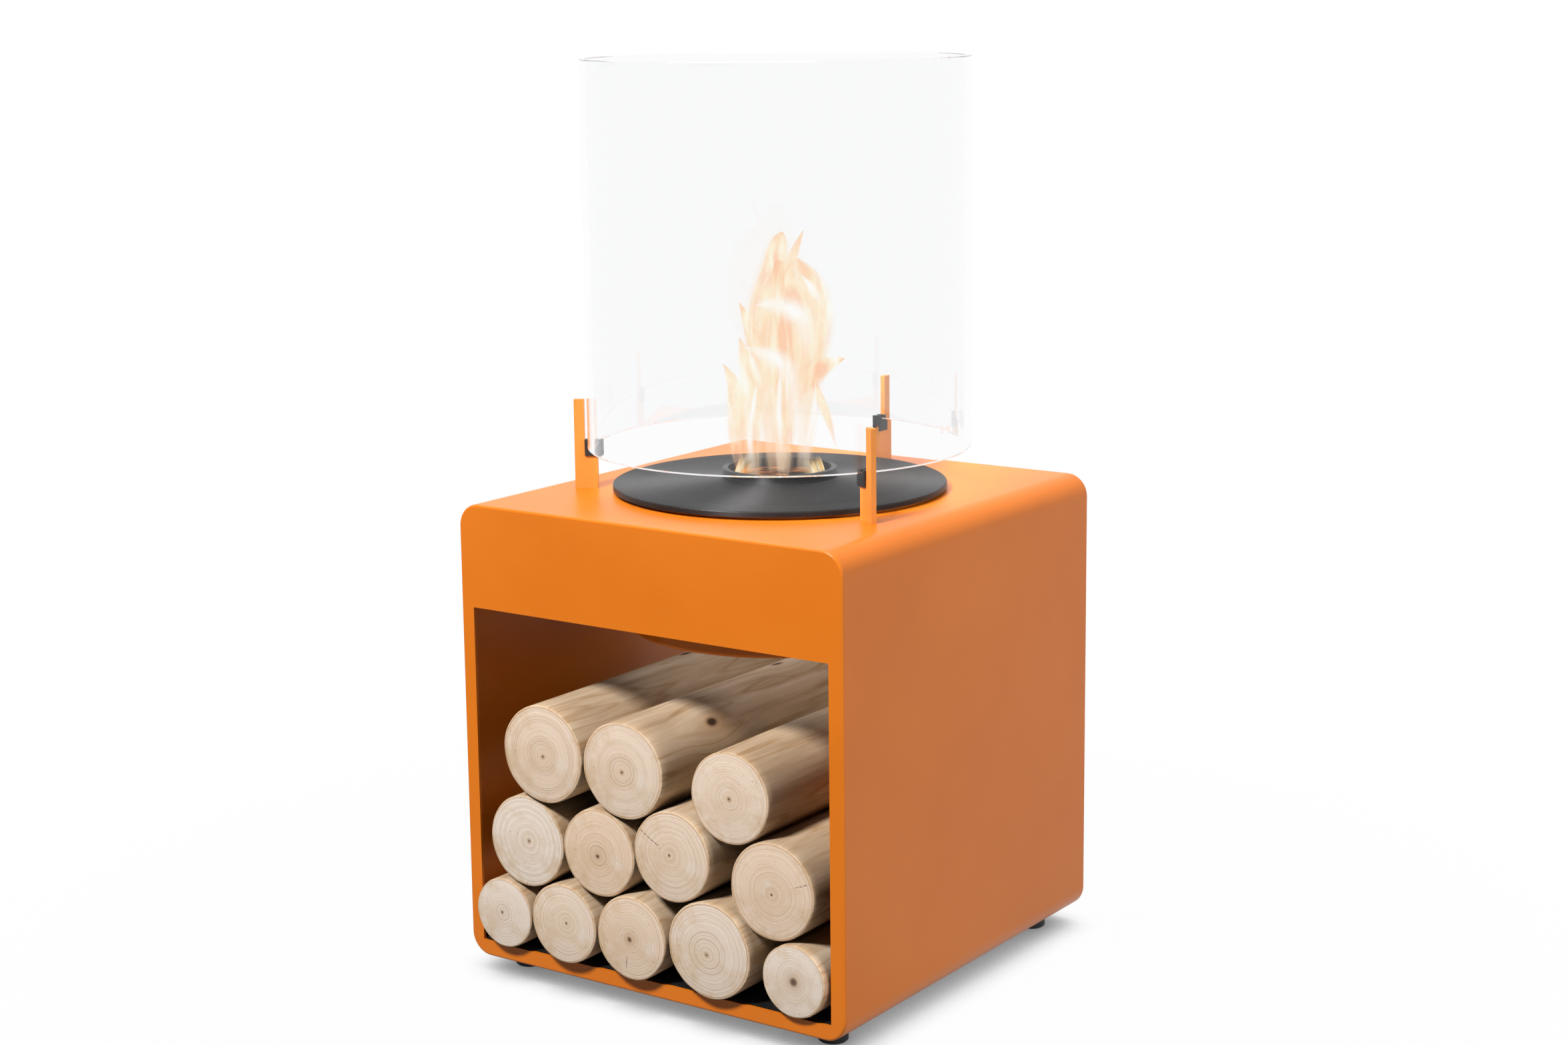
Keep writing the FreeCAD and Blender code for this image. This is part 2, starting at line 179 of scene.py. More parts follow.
def new_finish(name):
    """A material, its node tree, its shader and the Object coordinates that its patterns read."""
    mat = bpy.data.materials.new(name)
    mat.use_nodes = True
    tree = mat.node_tree
    return mat, tree, tree.nodes["Principled BSDF"], add_node(tree, "TexCoord").outputs["Object"]


def floor_paint():
    mat, tree, bsdf, place = new_finish("floor_paint")
    feed(tree, bsdf, {"Base Color": (0.20, 0.20, 0.20, 1), "Roughness": 0.9, "Specular IOR Level": 0.0})
    seen, path = seen_directly(tree)
    far = length(tree, place)
    part = split(tree, place)
    not_left = in_range(tree, part["X"], 0.2, 1.0)
    not_front = in_range(tree, part["Y"], -0.7, 0.1)
    not_near = in_range(tree, far, 2.2, 2.7, smooth=True)
    in_gloss = maths(tree, "MAXIMUM", maths(tree, "MAXIMUM", not_left, not_front), not_near)
    near = add_node(tree, "AmbientOcclusion", {"Distance": SHADOW_REACH}, samples=8).outputs["AO"]
    white = add_node(tree, "Emission", {"Color": colour_ramp(tree, near, SHADOW_TONES),
                                        "Strength": maths(tree, "MAXIMUM", seen, in_gloss)})
    lift = in_range(tree, far, 0.45, 1.0, to_low=0.985, smooth=True)
    share = maths(tree, "MULTIPLY", maths(tree, "MAXIMUM", seen, path["Is Glossy Ray"]), lift)
    mix = add_node(tree, "MixShader", {"Fac": share, 1: bsdf.outputs["BSDF"], 2: white.outputs["Emission"]})
    feed(tree, tree.nodes["Material Output"], {"Surface": mix.outputs["Shader"]})
    return mat


def object_from(bm, name):
    """Turn a bmesh into an object at the origin."""
    mesh = bpy.data.meshes.new(name)
    bm.to_mesh(mesh)
    bm.free()
    made = bpy.data.objects.new(name, mesh)
    scene.collection.objects.link(made)
    return made


sheet = bmesh.new()
bmesh.ops.create_grid(sheet, x_segments=1, y_segments=1, size=FLOOR_REACH)
floor = object_from(sheet, "floor")
floor.data.materials.append(floor_paint())
print("floor:", 2 * FLOOR_REACH, "m wide")

# %% [markdown]
# Two soft lamps make the shine: a key lamp high in front and a wide one overhead. Three more only fill,
# and are hidden from gloss: one to the right, one that reaches the logs through the back window, and a
# weak one under the cabinet's top for the log store. No lamp shows to the camera or through the glass,
# because the glass would turn a lamp into bright specks.

# %% Lamps
def soft_lamp(name, place, aim, size, watts, height=None):
    """A round lamp, or a rectangle where it has a height, aimed at a place."""
    lamp = bpy.data.objects.new(name, bpy.data.lights.new(name, "AREA"))
    lamp.data.shape = "RECTANGLE" if height else "DISK"
    lamp.data.size = size
    lamp.data.size_y = height or size
    lamp.data.energy = watts
    turn = (Vector(aim) - Vector(place)).to_track_quat("-Z", "Y").to_matrix().to_4x4()
    lamp.matrix_world = Matrix.Translation(place) @ turn
    scene.collection.objects.link(lamp)
    return lamp


shine_lamps = [
    soft_lamp("key", (-0.2, -2.4, 2.7), (0, 0, 0.35), size=0.6, watts=132),
    soft_lamp("overhead", (-0.4, 0.1, 2.8), (0, 0, 0.4), size=1.8, watts=20)]
fill_lamps = [
    soft_lamp("side", (2.6, 0.15, 1.2), (0, 0, 0.9), size=0.8, height=2.4, watts=32),
    soft_lamp("back", (-0.8, 1.6, 0.62), (0, 0, 0.28), size=0.7, watts=22),
    soft_lamp("store", (0.02, 0.05, 0.306), (0.02, 0.0501, 0.0), size=0.36, height=0.30, watts=0.13)]
for lamp in shine_lamps + fill_lamps:
    lamp.visible_camera = lamp.visible_transmission = False
for lamp in fill_lamps:
    lamp.visible_glossy = False
print("lamps:", len(shine_lamps), "for shine,", len(fill_lamps), "to fill")

# %% [markdown]
# The cabinet, the well and the posts wear an orange powder coat: baked plastic powder with a satin gloss
# and a very fine orange-peel surface. A flat colour would look like plastic, so small noise moves the
# tone, the gloss and the bump. The posts' copy of the coat is paler and yellower: a painted highlight
# for the brighter light and sheen that fall on the thin bars.

# %% Powder coat
COAT_TONES = (0.735, 0.178, 0.006), (0.795, 0.202, 0.010)
# The posts' tones are paler and yellower than the cabinet's: a painted highlight for the light on the thin
# bars
POST_HIGHLIGHT_TONES = (0.75, 0.26, 0.040), (0.80, 0.29, 0.052)
CABINET_SHEETS = "cabinet_wrap", "front_panel", "back_panel", "burner_well"


def noisy(tree, vector, scale, detail=2.0, **values):
    inputs = {"Vector": vector, "Scale": scale, "Detail": detail, **values}
    return add_node(tree, "TexNoise", inputs).outputs["Fac"]


def fine_bump(tree, bsdf, height, strength, distance):
    bump = add_node(tree, "Bump", {"Height": height, "Strength": strength, "Distance": distance})
    feed(tree, bsdf, {"Normal": bump.outputs["Normal"]})


def powder_coat(name, low, high):
    mat, tree, bsdf, place = new_finish(name)
    cloud = noisy(tree, place, scale=7.0, detail=3.0)
    grain = noisy(tree, place, scale=620.0)
    feed(tree, bsdf, {"Base Color": colour_ramp(tree, cloud, [(0.3, low), (0.7, high)]),
                      "Roughness": in_range(tree, grain, 0, 1, to_low=0.31, to_high=0.41),
                      "Specular IOR Level": 0.36})
    fine_bump(tree, bsdf, grain, strength=0.10, distance=0.0004)
    return mat


def dress(mat, *names):
    """Give solids a finish in place of the one they came with."""
    for name in names:
        mesh = nodes[name].data
        mesh.materials.clear()
        mesh.materials.append(mat)


posts = [name for name in nodes if name.startswith("glass_post")]
dress(powder_coat("orange_powder_coat", *COAT_TONES), *CABINET_SHEETS)
# The posts get the paler copy of the coat, a painted highlight
dress(powder_coat("post_coat_painted_highlight", *POST_HIGHLIGHT_TONES), *posts)
print("powder coat on", len(CABINET_SHEETS) + len(posts), "pieces")

# %% [markdown]
# The floor of the log store is matte black paint, and the feet, the clips and the gasket are moulded
# black rubber. Both are nearly black, so it is the roughness and the bump that tell them apart.

# %% Black paint and rubber
PAINT_TONES = [(0.35, (0.006, 0.006, 0.006)), (0.8, (0.016, 0.015, 0.014))]
RUBBER_TONES = [(0.0, (0.010, 0.010, 0.010)), (0.6, (0.017, 0.017, 0.018))]
RUBBER_STARTS = "glass_clip", "foot_front", "foot_back", "well_gasket"


def black_paint():
    mat, tree, bsdf, place = new_finish("black_paint")
    dust = noisy(tree, place, scale=35.0, detail=6.0)
    feed(tree, bsdf, {"Base Color": colour_ramp(tree, dust, PAINT_TONES), "Roughness": 0.7,
                      "Specular IOR Level": 0.25})
    fine_bump(tree, bsdf, dust, strength=0.1, distance=0.001)
    return mat


def black_rubber():
    mat, tree, bsdf, place = new_finish("black_rubber")
    pebble = add_node(tree, "TexVoronoi", {"Vector": place, "Scale": 900.0}).outputs["Distance"]
    feed(tree, bsdf, {"Base Color": colour_ramp(tree, pebble, RUBBER_TONES),
                      "Roughness": in_range(tree, pebble, 0, 1, to_low=0.42, to_high=0.62)})
    fine_bump(tree, bsdf, pebble, strength=0.15, distance=0.0003)
    return mat


dress(black_paint(), "floor_tray")
rubber_pieces = [name for name in nodes if name.startswith(RUBBER_STARTS)]
dress(black_rubber(), *rubber_pieces)
print("rubber on", len(rubber_pieces), "pieces")

# %% [markdown]
# The burner plate and its collar are dark steel, brushed in rings on a lathe. The rings are a noise
# that reads only the distance from the burner's axis, and a slow noise moves that distance a little so
# that they wander. Anisotropic gloss gives the fan-shaped shine of a turned disc: its tangent runs round
# the axis, and a quarter turn lays the gloss across the rings. The burner's cans are drawn stainless
# steel, and the screws are zinc plated.

# %% Brushed and plain steels
COLLAR_LOW, COLLAR_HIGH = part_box("mouth_collar")
BURNER_AXIS = Vector((0, (COLLAR_LOW.y + COLLAR_HIGH.y) / 2, 0))
# Each steel: its dark and its light tone
DARK_STEEL = (0.020, 0.020, 0.021), (0.044, 0.043, 0.043)
STAINLESS = (0.30, 0.27, 0.24), (0.45, 0.41, 0.37)
ZINC = (0.48, 0.49, 0.50), (0.62, 0.63, 0.64)


def vector_maths(tree, operation, first, second):
    return add_node(tree, "VectorMath", {0: first, 1: second}, operation=operation).outputs["Vector"]


def from_axis(tree, place, axis, across):
    """A point as seen from an axis, and its distance from it in the directions across it."""
    moved = add_node(tree, "Mapping", {"Vector": place, "Location": -axis}).outputs["Vector"]
    return moved, length(tree, vector_maths(tree, "MULTIPLY", moved, across))


def noisy_line(tree, value, scale, detail=1.0):
    """Noise that reads one number only, so it is the same all round a ring."""
    inputs = {"W": value, "Scale": scale, "Detail": detail}
    return add_node(tree, "TexNoise", inputs, noise_dimensions="1D").outputs["Fac"]


def ringed_steel(name, dark, light, rough, spread=0.12):
    mat, tree, bsdf, place = new_finish(name)
    moved, radius = from_axis(tree, place, BURNER_AXIS, (1, 1, 0))
    wander = in_range(tree, noisy(tree, moved, scale=9.0), 0, 1, to_low=-0.0006, to_high=0.0006)
    lines = noisy_line(tree, maths(tree, "ADD", radius, wander), scale=900.0, detail=3.0)
    tangent = add_node(tree, "Tangent", direction_type="RADIAL", axis="Z").outputs["Tangent"]
    feed(tree, bsdf, {"Base Color": colour_ramp(tree, lines, [(0.3, dark), (0.75, light)]),
                      "Roughness": in_range(tree, lines, 0, 1, rough - spread, rough + spread),
                      "Metallic": 0.5, "Specular IOR Level": 0.18, "Tangent": tangent,
                      "Anisotropic": 0.9, "Anisotropic Rotation": 0.25})
    fine_bump(tree, bsdf, lines, strength=0.12, distance=0.0003)
    return mat


def plain_steel(name, dark, light, rough, spread=0.08):
    mat, tree, bsdf, place = new_finish(name)
    stretched = add_node(tree, "Mapping", {"Vector": place, "Scale": (1, 1, 40)}).outputs["Vector"]
    drawn = noisy(tree, stretched, scale=30.0, detail=4.0)
    feed(tree, bsdf, {"Base Color": colour_ramp(tree, drawn, [(0.3, dark), (0.7, light)]),
                      "Roughness": in_range(tree, drawn, 0, 1, rough - spread, rough + spread),
                      "Metallic": 1.0})
    fine_bump(tree, bsdf, drawn, strength=0.1, distance=0.0003)
    return mat


dress(ringed_steel("dark_brushed_steel", *DARK_STEEL, rough=0.50), "burner_plate", "mouth_collar")
dress(plain_steel("stainless_steel", *STAINLESS, rough=0.35), "burner_housing", "fuel_cup")
dress(plain_steel("zinc_steel", *ZINC, rough=0.32), "foot_screws", "foot_nuts", "post_screws")
print("steels on the burner and the screws, about an axis at", tuple(round(v, 4) for v in BURNER_AXIS))

# %% [markdown]
# The cylinder is clear toughened glass 6 mm thick. Its wall is modelled with both faces, so the shader
# bends light as the real one does. Light that enters at a rim runs round inside the wall for a long time,
# and a path that is cut short there shows as a black tick, so many bounces are allowed. Lamps pass straight
# through the glass, because lamp light traced through it is slow to clear of noise. Diffuse light bounces
# only once, which keeps the inside of the log store dark.

# %% Glass
# Bounces in the glass, see-through sheets that one ray may cross, and bounces of diffuse light
GLASS_BOUNCES, SHEET_CROSSINGS, DIFFUSE_BOUNCES = 400, 100, 1


def clear_glass():
    mat, tree, bsdf, place = new_finish("clear_glass")
    smear = noisy(tree, place, scale=11.0, detail=4.0)
    feed(tree, bsdf, {"Base Color": (0.970, 0.972, 0.975, 1), "Transmission Weight": 1.0, "IOR": 1.47,
                      "Roughness": in_range(tree, smear, 0.45, 0.9, to_high=0.012)})
    lamp_light = add_node(tree, "BsdfTransparent", {"Color": (0.95, 0.95, 0.95, 1)}).outputs["BSDF"]
    from_lamp = add_node(tree, "LightPath").outputs["Is Shadow Ray"]
    mix = add_node(tree, "MixShader", {"Fac": from_lamp, 1: bsdf.outputs["BSDF"], 2: lamp_light})
    feed(tree, tree.nodes["Material Output"], {"Surface": mix.outputs["Shader"]})
    return mat


dress(clear_glass(), "glass_cylinder")
light_paths = scene.cycles
light_paths.max_bounces = light_paths.transmission_bounces = light_paths.glossy_bounces = GLASS_BOUNCES
light_paths.transparent_max_bounces = SHEET_CROSSINGS
light_paths.diffuse_bounces = DIFFUSE_BOUNCES
print("glass cylinder dressed, with", GLASS_BOUNCES, "bounces")

# %% [markdown]
# The logs are peeled round wood. Each starts as a disc the size of its solid, is extruded along the
# store, has its sawn edges bevelled and is then pressed in a little by smooth noise, so that no two
# are quite round. The peeled side and the sawn ends are two finishes.

# %% Log shapes
LOG_NAMES = sorted(name for name in nodes if name.startswith("log_"))
ROUND_STEPS, LENGTH_STEPS = 96, 36
RIM_BEVEL = 0.0016
TOUCHING = 1e-6
PEELED_SIDE, SAWN_END = 0, 1
SHARP_ANGLE = radians(50)
SKIN_DEPTH, WAVE_DEPTH, RIPPLE_DEPTH = 0.0010, 0.0010, 0.0004


def log_axis(name):
    """Middle of a log in X and Z, its radius, and where it starts and ends along Y."""
    low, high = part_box(name)
    return Vector(((low.x + high.x) / 2, 0, (low.z + high.z) / 2)), (high.z - low.z) / 2, low.y, high.y


def round_bar(centre, radius, front, back):
    """A disc drawn out along Y, cut into short lengths, with rounded rims."""
    bm = bmesh.new()
    facing = Matrix.Translation(centre + Vector((0, front, 0))) @ Matrix.Rotation(pi / 2, 4, "X")
    bmesh.ops.create_circle(bm, cap_ends=True, segments=ROUND_STEPS, radius=radius, matrix=facing)
    grown = bmesh.ops.extrude_face_region(bm, geom=bm.faces[:])["geom"]
    far_end = [g for g in grown if isinstance(g, bmesh.types.BMVert)]
    bmesh.ops.translate(bm, verts=far_end, vec=(0, back - front, 0))
    lengthwise = [e for e in bm.edges if abs(e.verts[0].co.y - e.verts[1].co.y) > TOUCHING]
    bmesh.ops.subdivide_edges(bm, edges=lengthwise, cuts=LENGTH_STEPS)
    rims = [e for e in bm.edges
            if any(all(abs(v.co.y - end) < TOUCHING for v in e.verts) for end in (front, back))]
    bmesh.ops.recalc_face_normals(bm, faces=bm.faces[:])
    bmesh.ops.bevel(bm, geom=rims, offset=RIM_BEVEL, segments=3, profile=0.5, affect="EDGES", material=-1)
    return bm


def pressed_in(out, along, seed):
    """How far noise presses a point of the skin in: a long wave and a short ripple, in metres."""
    wave = noise.noise(Vector((out.x * 22, along * 5, out.z * 22)) + Vector((seed * 7.3, 0, 0)))
    ripple = noise.noise(Vector((out.x * 60, along * 12, out.z * 60)) + Vector((0, seed * 3.1, 0)))
    return SKIN_DEPTH + WAVE_DEPTH * wave + RIPPLE_DEPTH * ripple


def peeled_log(name, seed):
    centre, radius, front, back = log_axis(name)
    bm = round_bar(centre, radius, front, back)
    for v in bm.verts:
        out = Vector((v.co.x - centre.x, 0, v.co.z - centre.z))
        v.co -= out.normalized() * pressed_in(out, v.co.y, seed)
    for face in bm.faces:
        face.smooth = True
        face.material_index = SAWN_END if abs(face.normal.y) > 0.9 else PEELED_SIDE
    piece = object_from(bm, name + "_wood")
    piece.data.set_sharp_from_angle(angle=SHARP_ANGLE)
    return piece


logs = {}
for seed, name in enumerate(LOG_NAMES):
    logs[name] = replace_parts(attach(peeled_log(name, seed + 1), name), name)
print("logs:", len(logs))

# %% [markdown]
# The sawn end shows growth rings round a small dark pith that is never quite in the middle. A year
# starts pale and darkens outwards to a thin line, and the years get narrower as the tree grows, so
# the ring count is a power of the distance from the pith. Stains, specks and a rare drying crack come
# on top. Each log has its own finish, because each has its own centre and its own tone.

# %% Tones of the sawn ends
# How tan each log's end is, from 0 for pale to 1 for tan
TAN = {"log_01": 0.05, "log_02": 0.45, "log_03": 0.65, "log_04": 0.25, "log_05": 0.05, "log_06": 0.0,
       "log_07": 0.85, "log_08": 0.55, "log_09": 0.70, "log_10": 0.60, "log_11": 0.50, "log_12": 0.50}
# Radius of the usual pith in metres, and of those that are larger
USUAL_PITH = 0.0013
PITH = {"log_03": 0.0026, "log_05": 0.0042, "log_07": 0.0022}
# Each crack: its angle, and where it starts and ends from the pith in metres
END_CRACKS = {"log_08": (2.62, 0.014, 0.043), "log_09": (0.35, 0.026, 0.042), "log_03": (4.5, 0.018, 0.030)}
PALE_WOOD, TAN_WOOD = (0.82, 0.705, 0.605), (0.79, 0.585, 0.42)
PALE_LINE, TAN_LINE = (0.47, 0.335, 0.225), (0.43, 0.26, 0.135)
HEART, STAIN, BLEACHED = (0.62, 0.44, 0.28, 1), (0.62, 0.43, 0.25, 1), (0.80, 0.70, 0.60, 1)
SPECK, PITH_RING = (0.33, 0.20, 0.11, 1), (0.48, 0.29, 0.15, 1)
PITH_TONE, CRACK_TONE = (0.09, 0.05, 0.028, 1), (0.10, 0.06, 0.035, 1)
RIM_TONES = [(0.0, (1, 1, 1)), (0.915, (1, 1, 1)), (0.935, (0.70, 0.56, 0.41)), (0.955, (1.0, 0.97, 0.90)),
             (1.0, (0.93, 0.82, 0.66))]
print("tones for", len(TAN), "logs, with cracks in", len(END_CRACKS))


# %% Growth rings, stains and cracks
def mixed(tree, factor, first, second, blend="MIX"):
    """Two colours mixed. A colour mix has its factor in input 0 and its colours in inputs 6 and 7."""
    mix = add_node(tree, "Mix", {0: factor, 6: first, 7: second}, data_type="RGBA", blend_type=blend)
    return mix.outputs[2]


def growth_rings(tree, grown, years, seed, tan):
    """Colour of the rings, and how far a point lies through its year."""
    uneven = in_range(tree, noisy_line(tree, grown, scale=6.0 + seed), 0, 1, to_high=2.5)
    count = maths(tree, "ADD", maths(tree, "MULTIPLY", grown, years), uneven)
    year = maths(tree, "FRACT", count)
    pale = [p + tan * (t - p) for p, t in zip(PALE_WOOD, TAN_WOOD)]
    line = [p + tan * (t - p) for p, t in zip(PALE_LINE, TAN_LINE)]
    early = [1.04 * c for c in pale]
    late = [0.55 * p + 0.45 * t for p, t in zip(pale, line)]
    rings = colour_ramp(tree, year, [(0.0, early), (0.50, pale), (0.80, late), (0.93, line), (1.0, early)])
    clear = in_range(tree, noisy_line(tree, count, scale=0.37), 0.35, 0.65, to_low=0.40, to_high=0.90)
    return mixed(tree, clear, (*pale, 1), rings), year


def stained(tree, wood, middle, cloud, share):
    """Brown stains towards the bark, bleached patches and dark specks."""
    outer = in_range(tree, share, 0.25, 0.85, to_low=0.20, to_high=0.85)
    stain = maths(tree, "MULTIPLY", in_range(tree, cloud, 0.48, 0.68), outer)
    wood = mixed(tree, stain, wood, STAIN)
    bleach = in_range(tree, noisy(tree, middle, scale=52.0, detail=3.0), 0.55, 0.72, to_high=0.45)
    wood = mixed(tree, bleach, wood, BLEACHED)
    speck = in_range(tree, noisy(tree, middle, scale=420.0), 0.70, 0.76, to_high=0.65)
    return mixed(tree, speck, wood, SPECK)


def crack_mask(tree, pith, wobble, angle, start, end):
    """A thin broken line that runs out from the pith at an angle."""
    aimed = add_node(tree, "Mapping", {"Vector": pith, "Rotation": (0, angle, 0)}).outputs["Vector"]
    part = split(tree, aimed)
    aside = maths(tree, "ADD", part["Z"], in_range(tree, wobble, 0, 1, to_low=-0.0016, to_high=0.0016))
    thin = in_range(tree, maths(tree, "ABSOLUTE", aside), 0.0002, 0.0007, to_low=1, to_high=0)
    opens = in_range(tree, part["X"], start - 0.002, start + 0.002)
    closes = in_range(tree, part["X"], end - 0.003, end, to_low=1, to_high=0)
    dashes = in_range(tree, noisy_line(tree, part["X"], scale=420.0), 0.40, 0.55, to_low=0.25)
    between = maths(tree, "MULTIPLY", opens, closes)
    return maths(tree, "MULTIPLY", maths(tree, "MULTIPLY", thin, dashes), between)


print("helpers for sawn ends: rings, stains and cracks")


# %% Sawn ends
def scaled(tree, vector, factor):
    return add_node(tree, "VectorMath", {0: vector, "Scale": factor}, operation="SCALE").outputs["Vector"]


def sawn_end(name, seed):
    rng = random.Random(seed)
    centre, radius = log_axis(name)[:2]
    off_centre = Vector((rng.uniform(-0.10, 0.10), 0, rng.uniform(-0.12, 0.04))) * radius
    bump_scale = 30.0 + 12 * rng.random()
    years = rng.uniform(17, 24)
    mat, tree, bsdf, place = new_finish(name + "_sawn_end")
    middle, from_middle = from_axis(tree, place, centre, (1, 0, 1))
    share = maths(tree, "DIVIDE", from_middle, radius)
    lean = scaled(tree, tuple(off_centre), in_range(tree, share, 0, 1, to_low=1, to_high=0))
    pith = vector_maths(tree, "SUBTRACT", middle, lean)
    from_pith = length(tree, vector_maths(tree, "MULTIPLY", pith, (1, 0, 1)))
    bumpy = in_range(tree, noisy(tree, middle, bump_scale), 0, 1, to_low=-0.0030, to_high=0.0030)
    bent = maths(tree, "MAXIMUM", maths(tree, "ADD", from_pith, bumpy), 0.0)
    grown = maths(tree, "POWER", maths(tree, "DIVIDE", bent, radius), 1.35)
    tan = TAN[name]
    wood, year = growth_rings(tree, grown, years, seed, tan)
    heart = in_range(tree, from_pith, radius * 0.12, radius * 0.60, to_low=0.20 + 0.30 * tan, to_high=0.0)
    wood = mixed(tree, heart, wood, HEART)
    cloud = noisy(tree, middle, scale=38.0, detail=5.0, Roughness=0.62)
    wood = stained(tree, wood, middle, cloud, share)
    wood = mixed(tree, 1.0, wood, colour_ramp(tree, share, RIM_TONES), "MULTIPLY")
    size = PITH.get(name, USUAL_PITH)
    round_pith = in_range(tree, bent, size, size * 3.2, to_low=0.45, to_high=0)
    wood = mixed(tree, round_pith, wood, PITH_RING)
    in_pith = in_range(tree, from_pith, size * 0.5, size * 1.2, to_low=0.9, to_high=0)
    wood = mixed(tree, in_pith, wood, PITH_TONE)
    saw = add_node(tree, "TexWave", {"Vector": middle, "Scale": 260.0, "Distortion": 3.0, "Detail": 2.0},
                   wave_type="BANDS", bands_direction="DIAGONAL").outputs["Fac"]
    height = maths(tree, "ADD", year, saw)
    if name in END_CRACKS:
        crack = crack_mask(tree, pith, noisy(tree, middle, scale=90.0, detail=3.0), *END_CRACKS[name])
        wood = mixed(tree, in_range(tree, crack, 0, 1, to_high=0.85), wood, CRACK_TONE)
        height = maths(tree, "SUBTRACT", height, maths(tree, "MULTIPLY", crack, 4.0))
    rough = in_range(tree, cloud, 0.3, 0.7, to_low=0.72, to_high=0.86)
    feed(tree, bsdf, {"Base Color": wood, "Roughness": rough, "Specular IOR Level": 0.25})
    fine_bump(tree, bsdf, height, strength=0.25, distance=0.0003)
    return mat


sawn_ends = {name: sawn_end(name, seed) for seed, name in enumerate(logs, 1)}
print("sawn end finishes:", len(sawn_ends))

# %% [markdown]
# The peeled side shows long streaks that run with the trunk, and knots where branches were. Streaks
# are noise stretched along the trunk. A knot is a dark dot, and the streaks swerve round it, because
# near a knot the noise is read from closer to it.

# %% Peeled sides
# Each knot: its angle round the log from +X, and its place along the log in metres
KNOTS = {"log_11": [(0.72, -0.128), (1.70, 0.030)], "log_10": [(1.75, 0.010)], "log_12": [(1.2, 0.035)],
         "log_09": [(0.9, -0.080)], "log_08": [(0.35, -0.150)]}
STREAK_TONES = [(0.30, (0.47, 0.305, 0.175)), (0.45, (0.62, 0.43, 0.265)), (0.60, (0.72, 0.53, 0.355)),
                (0.75, (0.80, 0.625, 0.45))]
GRAIN_EDGE = (0.76, 0.63, 0.47)
GRAIN_TONES = [(0.0, GRAIN_EDGE), (0.10, (1, 1, 1)), (0.80, (1, 1, 1)), (1.0, GRAIN_EDGE)]
WORN, KNOT_RING, KNOT_TONE = (0.54, 0.42, 0.29, 1), (0.34, 0.17, 0.075, 1), (0.035, 0.018, 0.010, 1)


def knotted(tree, name, place, knots):
    """Where to read the grain so that it swerves round the knots, and how dark the knots are."""
    centre, radius = log_axis(name)[:2]
    read_at = place
    darkest = None
    for angle, along in knots:
        spot = centre + Vector((radius * cos(angle), along, radius * sin(angle)))
        away = vector_maths(tree, "SUBTRACT", place, tuple(spot))
        near = length(tree, vector_maths(tree, "MULTIPLY", away, (1, 0.6, 1)))
        pull = scaled(tree, away, in_range(tree, near, 0.002, 0.034, to_low=0.85, to_high=0.0))
        read_at = vector_maths(tree, "SUBTRACT", read_at, pull)
        dark = in_range(tree, near, 0.0026, 0.0068, to_low=1.0, to_high=0.0)
        darkest = dark if darkest is None else maths(tree, "MAXIMUM", darkest, dark)
    return read_at, darkest


def peeled_side(name, seed):
    rng = random.Random(40 + seed)
    mat, tree, bsdf, place = new_finish(name + "_peeled_side")
    chance_knot = (rng.uniform(0, 6.2), rng.uniform(-0.15, 0.1))
    read_at, knots = knotted(tree, name, place, KNOTS.get(name, [chance_knot]))
    trunk = add_node(tree, "Mapping", {"Vector": read_at, "Scale": (1, 0.07, 1),
                                       "Location": (seed * 0.7, 0, 0)}).outputs["Vector"]
    streak = noisy(tree, trunk, scale=95.0, detail=5.0, Roughness=0.6)
    grain = maths(tree, "FRACT", maths(tree, "MULTIPLY", noisy(tree, trunk, scale=26.0), 9.0))
    wood = colour_ramp(tree, streak, STREAK_TONES)
    wood = mixed(tree, 0.75, wood, colour_ramp(tree, grain, GRAIN_TONES), "MULTIPLY")
    worn = noisy(tree, place, scale=14.0, detail=4.0, Roughness=0.7)
    wood = mixed(tree, in_range(tree, worn, 0.5, 0.75, to_high=0.40), wood, WORN)
    wood = mixed(tree, in_range(tree, knots, 0.0, 0.6, to_high=0.65), wood, KNOT_RING)
    wood = mixed(tree, in_range(tree, knots, 0.5, 0.95, to_high=0.95), wood, KNOT_TONE)
    rough = in_range(tree, streak, 0.3, 0.7, to_low=0.78, to_high=0.62)
    feed(tree, bsdf, {"Base Color": wood, "Roughness": rough, "Specular IOR Level": 0.3})
    fine_bump(tree, bsdf, streak, strength=0.35, distance=0.0006)
    return mat


for seed, (name, piece) in enumerate(logs.items(), 1):
    piece.data.materials.append(peeled_side(name, seed))
    piece.data.materials.append(sawn_ends[name])
print("sides and ends dressed on", len(logs), "logs")

# %% [markdown]
# The flame is burning vapour, so it has no solid. It is built as thin curved sheets: a row of points is
# extruded from station to station along a bent spine, growing and shrinking on the way. Each point
# carries how far up its sheet it is and how far to the side, and the finish uses these to thin the
# sheet towards its edges, root and tip. A broad lick is three such sheets turned about one spine, so that
# the flame has body from all sides, and a bright streak is one sheet in front of the licks.

